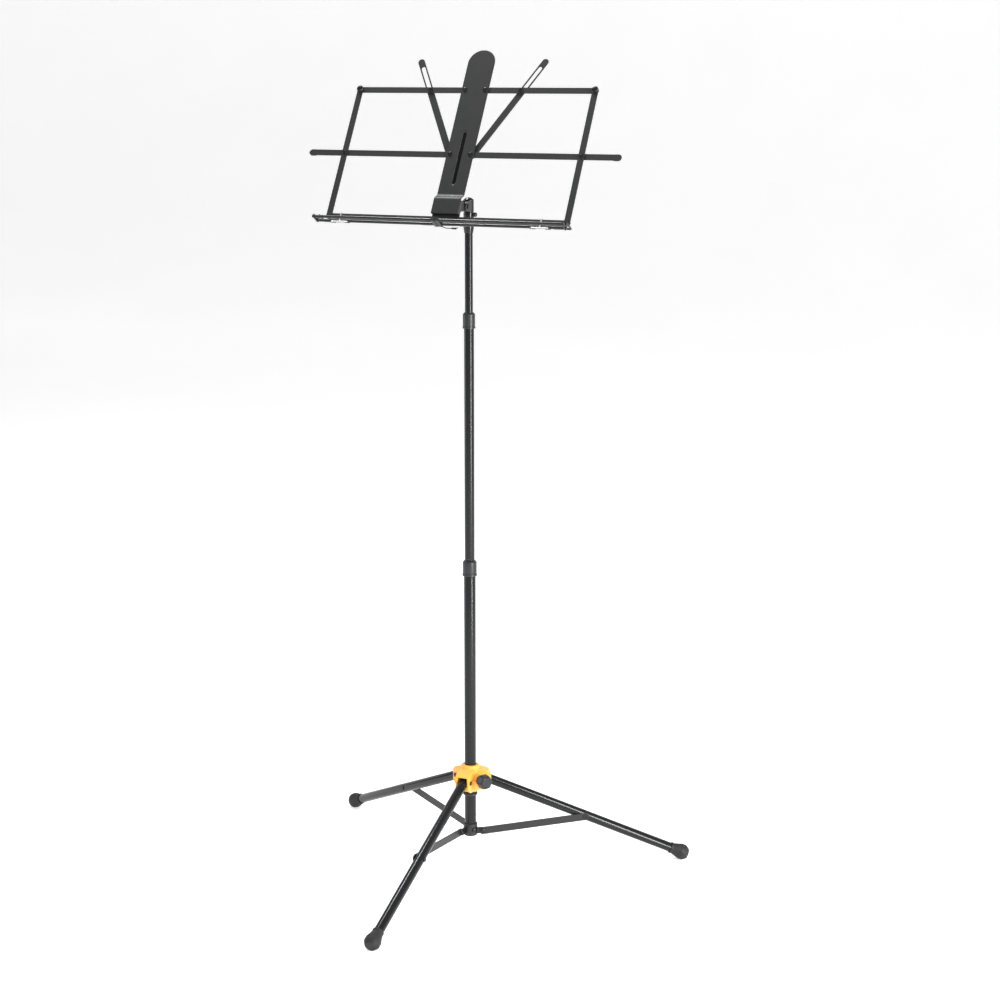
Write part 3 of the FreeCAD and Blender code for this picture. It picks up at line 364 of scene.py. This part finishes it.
def smooth_moulding(node):
    """Rounds every corner of a moulded CAD node by a fine remesh and smoothing."""
    remesh = node.modifiers.new("skin", "REMESH")
    remesh.mode = "VOXEL"
    remesh.voxel_size = MOULDING_VOXEL
    remesh.use_smooth_shade = True
    relax = node.modifiers.new("relax", "SMOOTH")
    relax.factor = 0.5
    relax.iterations = 5


EDGE_WIDTHS = {"head_coat": 0.0006, "dark_steel": 0.0004}
DEFAULT_EDGE = 0.00025


def dress_cad_nodes():
    """Gives every CAD node its material and soft edges."""
    slots = {part["node"]: part["material_slot"] for part in frame["record"]["subparts"]}
    for name, node in frame["nodes"].items():
        slot = slots[name]
        node.data.materials.clear()
        node.data.materials.append(MATERIALS[slot])
        if name == "leg_hub":
            smooth_moulding(node)
        else:
            soften(node, EDGE_WIDTHS.get(slot, DEFAULT_EDGE))


# Detailed pieces

# The legs' and feet's lengths are in millimetres, measured down the leg from its hinge.
LEG_ANGLE = math.radians(66.4)
LEG_START = -5.0
LEG_END = 352.0
LEG_RADIUS = 7.95
LEG_WALL = 1.2
LEG_RIM_EDGE = 0.3
FOOT_START = 341.0
FOOT_END = 373.0
FOOT_RADIUS = 13.0
FOOT_NECK = 9.4
FOOT_BORE = LEG_RADIUS + 0.1
FOOT_SOCKET_END = 353.0
FOOT_EDGE = 0.7

# The mast tubes' lengths are in metres.
MAST_WALL = 0.001
MAST_RIM_EDGE = 0.0003

TUBE_STEPS = 96
SMOOTH_LIMIT = math.radians(40)


def leg_place(name):
    """A placement in millimetres at a leg's hinge, with Z running down the leg."""
    hinge = joint_place(f"leg_{name}_fold")
    out = Vector((hinge.x, hinge.y, 0)).normalized()
    along = out * math.sin(LEG_ANGLE) - Vector((0, 0, math.cos(LEG_ANGLE)))
    return looking_along(hinge, along) @ Matrix.Scale(MM, 4)


def make_foot(name):
    """Rubber foot: a collared neck, a coned bulb, a chamfered end and a flat where it meets the floor."""
    outline = rounded([
        (FOOT_BORE, FOOT_START), (FOOT_NECK, FOOT_START), (FOOT_NECK, FOOT_START + 3.2),
        (FOOT_NECK - 0.7, FOOT_START + 3.8), (FOOT_NECK - 0.5, FOOT_START + 4.8),
        (FOOT_RADIUS - 0.5, FOOT_START + 17), (FOOT_RADIUS, FOOT_START + 18.5),
        (FOOT_RADIUS, FOOT_END - 6.5), (FOOT_RADIUS - 4.2, FOOT_END), (0, FOOT_END),
    ], FOOT_EDGE)
    socket = [(0, FOOT_SOCKET_END), (FOOT_BORE, FOOT_SOCKET_END)]
    turned = lathe(socket + outline)
    bmesh.ops.transform(turned, matrix=leg_place(name), verts=turned.verts)
    everything = turned.verts[:] + turned.edges[:] + turned.faces[:]
    cut = bmesh.ops.bisect_plane(
        turned, geom=everything, plane_co=(0, 0, 0), plane_no=(0, 0, 1), clear_inner=True
    )
    rim = [item for item in cut["geom_cut"] if isinstance(item, bmesh.types.BMEdge)]
    bmesh.ops.holes_fill(turned, edges=rim)
    foot = piece_from(turned, f"foot_{name}")
    foot.data.set_sharp_from_angle(angle=SMOOTH_LIMIT)
    finish_piece(foot, f"leg_{name}", "foot_rubber", f"leg_{name}_foot")


def tube_outline(radius, wall, low, high, edge):
    """The outline of an open tube with eased rims."""
    return rounded([(radius - wall, low), (radius, low), (radius, high), (radius - wall, high)], edge, 3)


def make_mast_tube(level, body):
    """One drawn mast tube, turned afresh so that its highlights run straight."""
    node = f"{level}_mast_tube"
    low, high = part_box(node)
    radius = (high[0] - low[0]) / 2
    outline = tube_outline(radius, MAST_WALL, low[2], high[2], MAST_RIM_EDGE)
    tube = piece_from(lathe(outline, TUBE_STEPS), f"{level}_mast_drawn_tube")
    tube.data.set_sharp_from_angle(angle=SMOOTH_LIMIT)
    finish_piece(tube, body, "black_tube", node)


def make_leg_tube(name):
    """One drawn leg tube."""
    outline = tube_outline(LEG_RADIUS, LEG_WALL, LEG_START, LEG_END, LEG_RIM_EDGE)
    tube = piece_from(lathe(outline, TUBE_STEPS), f"leg_drawn_tube_{name}", leg_place(name))
    tube.data.set_sharp_from_angle(angle=SMOOTH_LIMIT)
    finish_piece(tube, f"leg_{name}", "black_tube", f"leg_{name}_tube")


# The twist collars' and the knob's lengths are in metres.
COLLAR_WALL = 0.0013
COLLAR_RING = 0.0032
COLLAR_STEP = 0.0005
COLLAR_GROOVE = 0.0003
COLLAR_GAP = 0.0001
COLLAR_EDGE = 0.0004


def make_collar(level, tube_above, body):
    """Twist collar: a tapered sleeve with a flared bottom ring, a fine groove and a chamfered top."""
    node = f"{level}_twist_collar"
    low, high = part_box(node)
    tube_low, tube_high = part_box(tube_above)
    bore = (tube_high[0] - tube_low[0]) / 2 + COLLAR_GAP
    outer = (high[0] - low[0]) / 2
    inner = outer - COLLAR_WALL
    slim = outer - COLLAR_STEP
    groove = slim - COLLAR_GROOVE
    bottom = low[2]
    ring = bottom + COLLAR_RING
    top = high[2]
    outline = rounded([
        (inner, bottom), (outer, bottom), (outer, ring), (groove, ring + 0.0003), (groove, ring + 0.0009),
        (slim, ring + 0.0013), (slim, top - 0.0034), (slim - 0.0002, top - 0.0024), (slim - 0.0018, top),
        (bore, top), (bore, top - 0.002), (inner, top - 0.004),
    ], COLLAR_EDGE)
    collar = piece_from(lathe(outline, TUBE_STEPS), f"{level}_collar_grip")
    collar.data.set_sharp_from_angle(angle=SMOOTH_LIMIT)
    finish_piece(collar, body, "black_plastic", node)


KNOB_START = 0.028
KNOB_END = 0.048
KNOB_RADIUS = 0.0125
KNOB_SHANK = 0.0088
KNOB_DISH = 0.0072
KNOB_DISH_DEPTH = 0.0008
KNOB_EDGE = 0.0013
KNOB_STEPS = 120
LOBES = 6
LOBE_DEPTH = 0.075
LOBE_START = 0.032
LOBE_RISE = 0.003


def make_hub_knob():
    """Lobed clamp knob: a round shank, six tapered lobes and a dished end face."""
    def swell(angle, height):
        share = min(1, max(0, (height - LOBE_START) / LOBE_RISE))
        return 1 - LOBE_DEPTH * share * (0.5 - 0.5 * math.cos(LOBES * angle))

    outline = rounded([
        (0, KNOB_START), (KNOB_SHANK, KNOB_START), (KNOB_SHANK, KNOB_START + 0.0035),
        (KNOB_RADIUS - 0.0012, KNOB_START + 0.0055), (KNOB_RADIUS, KNOB_START + 0.008),
        (KNOB_RADIUS - 0.0011, KNOB_END - 0.002), (KNOB_RADIUS - 0.0026, KNOB_END), (KNOB_DISH, KNOB_END),
        (KNOB_DISH - 0.0006, KNOB_END - KNOB_DISH_DEPTH), (0, KNOB_END - KNOB_DISH_DEPTH),
    ], KNOB_EDGE, 5)
    place = looking_along(joint_place("hub_knob_turn"), joint_axis("hub_knob_turn"))
    knob = piece_from(lathe(outline, KNOB_STEPS, swell), "clamp_knob", place)
    finish_piece(knob, "hub_knob", "black_plastic", "hub_knob")


# Everything on the desk is in millimetres, in the desk's own axes.
CLIP_SLEEVE = 3.3
CLIP_ROD = 2.42
CLIP_SLEEVE_LENGTH = 8.0
CLIP_SLEEVE_EDGE = 0.7
CLIP_SLEEVE_STEPS = 40
CLIP_WIRE = 0.9
CLIP_WIRE_SUNK = 0.2
CLIP_UPRIGHT = 13.0


def make_clip(name):
    """Page clip: two black sleeves on the rear rod and a bent nickel wire between them that stands up."""
    node = f"page_clip_{name}"
    low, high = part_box(node)
    rod = DESK.inverted() @ joint_place(f"page_clip_turn_{name}")
    start = low[0] / MM
    length = (high[0] - low[0]) / MM
    for order, shift in enumerate((0, length - CLIP_SLEEVE_LENGTH)):
        outline = rounded([
            (CLIP_ROD, 0), (CLIP_SLEEVE, 0),
            (CLIP_SLEEVE, CLIP_SLEEVE_LENGTH), (CLIP_ROD, CLIP_SLEEVE_LENGTH),
        ], CLIP_SLEEVE_EDGE)
        place = DESK @ looking_along(Vector((start + shift, rod.y, rod.z)), (1, 0, 0))
        sleeve = piece_from(lathe(outline, CLIP_SLEEVE_STEPS), f"clip_sleeve_{name}_{order}", place)
        sleeve.data.set_sharp_from_angle(angle=SMOOTH_LIMIT)
        finish_piece(sleeve, node, "black_plastic")
    out = CLIP_SLEEVE - CLIP_WIRE * CLIP_WIRE_SUNK
    under = -CLIP_SLEEVE + CLIP_WIRE
    rise = length / 2
    upright = [
        (2, under, out), (4, under, out), (rise - 2.5, under, out),
        (rise, under, out), (rise, under + 2, out),
        (rise, CLIP_UPRIGHT - 3, out), (rise, CLIP_UPRIGHT - 1, out), (rise, CLIP_UPRIGHT, out - 3),
    ]
    tail = [
        (rise - 0.5, under, out), (rise + 3, under, out), (length - 4, under, out), (length - 2, under, out),
    ]
    place = DESK @ Matrix.Translation((start, rod.y, rod.z))
    upright_wire = wire_piece(f"clip_wire_{name}", upright, CLIP_WIRE, place)
    finish_piece(upright_wire, node, "clip_wire", node)
    tail_wire = wire_piece(f"clip_tail_{name}", tail, CLIP_WIRE, place)
    finish_piece(tail_wire, node, "clip_wire")


def desk_points(node):
    """A CAD node's vertices in the desk's own axes, in millimetres."""
    back = DESK.inverted()
    return [back @ vertex.co for vertex in frame["nodes"][node].data.vertices]


CAP_HALF_LENGTH = 8.0
CAP_HALF_WIDTH = 5.4
CAP_INSET = 0.2
CAP_GROWTH = 1.0
CAP_TUCK = 0.1
CAP_EDGE = 0.5
CAP_SMOOTH_LIMIT = math.radians(50)
KNUCKLE_RADIUS = 5.4
KNUCKLE_HEIGHT = 2.8
KNUCKLE_LAYER = 1.6
KNUCKLE_EDGE = 0.9
KNUCKLE_STEPS = 48


def make_caps(name, side):
    """Dark moulded cap on the page arm's tip, and a domed knuckle over the desk's top corner."""
    low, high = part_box(f"mid_arm_{name}")
    tip = abs(high[0] if side > 0 else low[0]) / MM
    arm = DESK.inverted() @ joint_place(f"mid_arm_fold_{name}")
    corner = DESK.inverted() @ joint_place(f"side_bar_fold_{name}")
    layers = [point.z for point in desk_points(f"mid_arm_{name}")]
    beside = [point.z for point in desk_points(f"side_bar_{name}")]
    side_bar_is_below = sum(beside) / len(beside) < sum(layers) / len(layers)
    start = min(layers) - (-CAP_TUCK if side_bar_is_below else CAP_GROWTH)
    end = max(layers) + (CAP_GROWTH if side_bar_is_below else -CAP_TUCK)
    middle = side * (tip - CAP_HALF_LENGTH - CAP_INSET)
    outline = stadium((middle, arm.y), CAP_HALF_LENGTH, CAP_HALF_WIDTH)
    cap = piece_from(plate(outline, start, end, CAP_EDGE), f"arm_cap_{name}", DESK)
    cap.data.set_sharp_from_angle(angle=CAP_SMOOTH_LIMIT)
    finish_piece(cap, f"mid_arm_{name}", "black_plastic")
    profile = rounded([
        (0, 0), (KNUCKLE_RADIUS, 0), (KNUCKLE_RADIUS, 1.0), (KNUCKLE_RADIUS - 1.0, 2.1), (2.2, 2.7),
        (0, KNUCKLE_HEIGHT),
    ], KNUCKLE_EDGE)
    place = DESK @ Matrix.Translation((corner.x, corner.y, KNUCKLE_LAYER))
    knuckle = piece_from(lathe(profile, KNUCKLE_STEPS), f"corner_knuckle_{name}", place)
    finish_piece(knuckle, f"top_rail_{name}", "dark_steel")


def eased(share):
    """A smooth rise from 0 to 1."""
    share = min(1, max(0, share))
    return share * share * (3 - 2 * share)


SHEET = 1.5
SPINE_STEP = (31.5, 41.5)
SPINE_GROOVE = (59.0, 150.0)
GROOVE_HALF_WIDTH = 3.75
GROOVE_DEPTH = 1.2
GROOVE_WALL = 0.9
# The dark sheet of painted shade in the groove: how far it rises above the floor, and its rounded rim.
GROOVE_SHADE_SHEET_RISE = 0.2
SHADE_SHEET_EDGE = 0.08
ROLL_DEPTH = 0.5
ROLL_WIDTH = 0.7
SPINE_ROWS = 130
SPINE_TOP_ROWS = 26
SPINE_COLUMNS = 48
SPINE_SMOOTH_LIMIT = math.radians(45)


def make_spine():
    """Pressed spine plate: a stepped foot, a sunk groove, a round top and rolled edges."""
    points = desk_points("spine_plate")
    half = max(point.x for point in points)
    low = min(point.y for point in points)
    high = max(point.y for point in points)
    foot_face = max(point.z for point in points)
    face = max(point.z for point in points if point.y > SPINE_GROOVE[1] + half)
    straight = low + 1.5
    shoulder = high - half
    stations = [low, low + 0.25, low + 0.6, low + 1.2]
    stations += [straight + (shoulder - straight) * step / SPINE_ROWS for step in range(SPINE_ROWS + 1)]
    for step in range(1, SPINE_TOP_ROWS):
        stations.append(shoulder + half * math.sin(math.pi / 2 * step / SPINE_TOP_ROWS))
    stations.append(high - 0.02)
    inner = [-0.9 + 1.8 * step / SPINE_COLUMNS for step in range(SPINE_COLUMNS + 1)]
    shares = [-1, -0.985, -0.965, -0.93] + inner + [0.93, 0.965, 0.985, 1]

    def width_at(h):
        above = h - shoulder
        return half if above <= 0 else math.sqrt(max(0.01, half ** 2 - above ** 2))

    def relief(x, h):
        """The front face's height over the back layer at one place."""
        rise = 1 - eased((h - SPINE_STEP[0]) / (SPINE_STEP[1] - SPINE_STEP[0]))
        middle = min(max(h, SPINE_GROOVE[0] + GROOVE_HALF_WIDTH), SPINE_GROOVE[1] - GROOVE_HALF_WIDTH)
        inside = GROOVE_HALF_WIDTH - math.hypot(x, h - middle)
        return face + (foot_face - face) * rise - GROOVE_DEPTH * eased(inside / GROOVE_WALL)

    def roll(x, h):
        """How far the rim's rounded edge falls back."""
        rim = min(width_at(h) - abs(x), h - low, high - h)
        return ROLL_DEPTH * (1 - eased(rim / ROLL_WIDTH))

    solid = bmesh.new()
    fronts = []
    backs = []
    for h in stations:
        across = [share * width_at(h) for share in shares]
        fronts.append([solid.verts.new((x, h, relief(x, h) - roll(x, h))) for x in across])
        backs.append([solid.verts.new((x, h, relief(x, h) - SHEET + roll(x, h) * 0.8)) for x in across])
    last = len(shares) - 1
    for row in range(len(stations) - 1):
        for column in range(last):
            for grid in (fronts, backs):
                solid.faces.new((
                    grid[row][column], grid[row][column + 1],
                    grid[row + 1][column + 1], grid[row + 1][column],
                ))
        for column in (0, last):
            solid.faces.new((
                fronts[row][column], fronts[row + 1][column], backs[row + 1][column], backs[row][column],
            ))
    for row in (0, len(stations) - 1):
        for column in range(last):
            solid.faces.new((
                fronts[row][column], fronts[row][column + 1], backs[row][column + 1], backs[row][column],
            ))
    spine = piece_from(solid, "spine_pressing", DESK)
    spine.data.set_sharp_from_angle(angle=SPINE_SMOOTH_LIMIT)
    finish_piece(spine, "desk_spine", "black_bar", "spine_plate")
    # Adds a dark sheet of painted shade on the groove's floor.
    make_groove_painted_shade(face)
    return face


def make_groove_painted_shade(face):
    """Thin dark sheet on the floor of the spine's groove, as painted shade that stands in for the groove's shadow.
    """
    middle = sum(SPINE_GROOVE) / 2
    half_length = (SPINE_GROOVE[1] - SPINE_GROOVE[0]) / 2 - GROOVE_WALL
    half_width = GROOVE_HALF_WIDTH - GROOVE_WALL * 0.7
    outline = [(-y, x + middle) for x, y in stadium((0, 0), half_length, half_width)]
    floor = face - GROOVE_DEPTH
    solid = plate(outline, floor - 0.1, floor + GROOVE_SHADE_SHEET_RISE, SHADE_SHEET_EDGE)
    shade_sheet = piece_from(solid, "spine_groove_painted_shade", DESK)
    shade_sheet.data.set_sharp_from_angle(angle=SMOOTH_LIMIT)
    # The sheet takes the near-black painted shade material, standing in for the groove's shadow.
    shade_sheet.data.materials.append(painted_groove_shade_black("groove_painted_shade_black"))
    finish_piece(shade_sheet, "desk_spine", "black_plastic")


DOME_RINGS = 6
DOME_STEPS = 32
DOME_RIM = 0.3
DOME_REACH = 0.97


def dome(name, size, place, body):
    """A low round rivet or screw head that stands on a face. size is its radius and height."""
    radius, height = size
    outline = [(0, 0), (radius, 0)]
    for ring in range(1, DOME_RINGS + 1):
        angle = ring / DOME_RINGS * math.pi / 2
        rise = DOME_RIM + (1 - DOME_RIM) * math.sin(angle)
        outline.append((radius * math.cos(angle * DOME_REACH), height * rise))
    outline.append((0, height))
    head = piece_from(lathe(outline, DOME_STEPS), name, place)
    finish_piece(head, body, "dark_steel")


# The radius and height of each head on the desk, and how far it is sunk, in millimetres.
SPINE_HEAD = (3.9, 1.9)
SIDE_HEAD = (3.7, 1.7)
HEAD_SUNK = 0.1

# The same for the strut collar, where lengths are in metres.
SCREW_HEAD = (0.0042, 0.0026)
PIN_HEAD = (0.0043, 0.002)
COLLAR_SCREW_TURN = math.radians(-34)
COLLAR_SCREW_WALL = 0.0019
RIVET_HEAD = 0.0012
PIN_REACH = 0.006


def make_rivet_heads(spine_face):
    """Domed heads over the flat CAD rivets that show, and the fixing screw in the strut collar."""
    for name in SIDES:
        for row in ("mid_arm", "top_rail"):
            spot = DESK.inverted() @ joint_place(f"{row}_fold_{name}")
            place = DESK @ Matrix.Translation((spot.x, spot.y, spine_face - HEAD_SUNK))
            dome(f"spine_rivet_head_{row}_{name}", SPINE_HEAD, place, "desk_spine")
        corner = DESK.inverted() @ joint_place(f"side_bar_fold_{name}")
        bar_face = max(point.z for point in desk_points(f"side_bar_{name}"))
        for row in ("mid_arm", "bottom_rail"):
            spot = DESK.inverted() @ joint_place(f"{row}_fold_{name}")
            place = DESK @ Matrix.Translation((corner.x, spot.y, bar_face - HEAD_SUNK))
            dome(f"side_rivet_head_{row}_{name}", SIDE_HEAD, place, f"side_bar_{name}")
    low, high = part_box("strut_collar")
    tube_low, tube_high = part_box("lower_mast_tube")
    wall = (tube_high[0] - tube_low[0]) / 2 + COLLAR_SCREW_WALL
    out = Vector((math.cos(COLLAR_SCREW_TURN), math.sin(COLLAR_SCREW_TURN), 0))
    middle = Vector((0, 0, (low[2] + high[2]) / 2))
    dome("strut_collar_screw", SCREW_HEAD, looking_along(middle + out * wall, out), "base_mast")
    rivets = [vertex.co for vertex in frame["nodes"]["strut_collar_rivets"].data.vertices]
    for name in LEG_NAMES:
        pivot = joint_place(f"strut_{name}_fold")
        across = joint_axis(f"strut_{name}_fold")
        offsets = [point - pivot for point in rivets]
        own = [offset.dot(across) for offset in offsets if offset.cross(across).length < PIN_REACH]
        for order, (way, reach) in enumerate(((1, max(own)), (-1, -min(own)))):
            place = looking_along(pivot + across * way * (reach - RIVET_HEAD), across * way)
            dome(f"strut_pin_head_{name}_{order}", PIN_HEAD, place, "base_mast")


# Scene


def area_light(name, place, target, width, height, power):
    lamp = bpy.data.lights.new(name, "AREA")
    lamp.shape = "RECTANGLE"
    lamp.size = width
    lamp.size_y = height
    lamp.energy = power
    holder = bpy.data.objects.new(name, lamp)
    holder.location = place
    holder.rotation_euler = (Vector(target) - Vector(place)).to_track_quat("-Z", "Y").to_euler()
    bpy.context.scene.collection.objects.link(holder)


FLOOR_REACH = 40.0
FLOOR_BACK = 6.0
BACKDROP_BEND = 3.0
BACKDROP_STEPS = 16
BACKDROP_TOP = 8.0


def make_floor():
    """Pale floor that sweeps up into a backdrop far behind the stand."""
    floor = bmesh.new()
    rows = [(-FLOOR_REACH, 0.0), (FLOOR_BACK, 0.0)]
    for step in range(1, BACKDROP_STEPS + 1):
        angle = math.pi / 2 * step / BACKDROP_STEPS
        rows.append((FLOOR_BACK + BACKDROP_BEND * math.sin(angle), BACKDROP_BEND * (1 - math.cos(angle))))
    rows.append((FLOOR_BACK + BACKDROP_BEND, BACKDROP_TOP))
    strips = [[floor.verts.new((x, y, z)) for x in (-FLOOR_REACH, FLOOR_REACH)] for y, z in rows]
    for near, far in zip(strips, strips[1:]):
        floor.faces.new((near[0], near[1], far[1], far[0]))
    sweep = piece_from(floor, "studio_floor")
    paper = Finish("studio_paper", Roughness=0.9, Emission_Color=(1, 1, 1, 1), Emission_Strength=0.42)
    paper.colours(paper.noise(2, 3), (0.88, 0.88, 0.88), (0.9, 0.9, 0.9))
    sweep.data.materials.append(paper.material)


WORLD_LIGHT = 0.38
WORLD_SEEN = 0.95


def make_studio():
    """Soft white surroundings, a broad key light, and strips that edge the tubes.
    The surroundings light the stand at one strength and show past the floor's edge at another."""
    world = bpy.data.worlds.new("studio")
    world.use_nodes = True
    surround = world.node_tree.nodes["Background"]
    surround.inputs["Color"].default_value = (1, 1, 1, 1)
    seen = world.node_tree.nodes.new("ShaderNodeLightPath").outputs["Is Camera Ray"]
    strength = world.node_tree.nodes.new("ShaderNodeMapRange")
    strength.inputs["To Min"].default_value = WORLD_LIGHT
    strength.inputs["To Max"].default_value = WORLD_SEEN
    world.node_tree.links.new(seen, strength.inputs["Value"])
    world.node_tree.links.new(strength.outputs["Result"], surround.inputs["Strength"])
    bpy.context.scene.world = world
    area_light("key_softbox", (0.9, -3.2, 2.3), (0, 0, 0.8), width=1.2, height=1.2, power=26)
    area_light("right_strip", (2.5, -1.0, 1.2), (0, 0, 0.7), width=0.35, height=2.6, power=125)
    area_light("left_strip", (-2.6, -1.0, 1.2), (0, 0, 0.8), width=0.3, height=2.2, power=18)
    area_light("top_softbox", (-1.26, 0.55, 3.74), (0, 0, 1.0), width=1.0, height=0.5, power=66)


CAMERA_LENS = 73.68
CAMERA_SENSOR = 36.0
CAMERA_PLACE = (1.3436, -2.9358, 1.3054)
CAMERA_PITCH = math.radians(78.16)
CAMERA_HEADING = math.radians(23.72)


def make_camera():
    """The camera at the photograph's viewing angle."""
    camera = bpy.data.cameras.new("photo_camera")
    camera.lens = CAMERA_LENS
    camera.sensor_width = CAMERA_SENSOR
    holder = bpy.data.objects.new("photo_camera", camera)
    holder.location = CAMERA_PLACE
    holder.rotation_euler = (CAMERA_PITCH, 0, CAMERA_HEADING)
    bpy.context.scene.collection.objects.link(holder)
    bpy.context.scene.camera = holder


dress_cad_nodes()
for tube_level, tube_body in (("lower", "base_mast"), ("middle", "middle_mast"), ("top", "top_mast")):
    make_mast_tube(tube_level, tube_body)
for leg_name in LEG_NAMES:
    make_leg_tube(leg_name)
    make_foot(leg_name)
make_collar("lower", "middle_mast_tube", "lower_twist_collar")
make_collar("upper", "top_mast_tube", "upper_twist_collar")
make_hub_knob()
for side_name, side_sign in SIDES.items():
    make_clip(side_name)
    make_caps(side_name, side_sign)
make_rivet_heads(make_spine())
make_floor()
make_studio()
make_camera()
bpy.context.scene.view_settings.view_transform = "Standard"
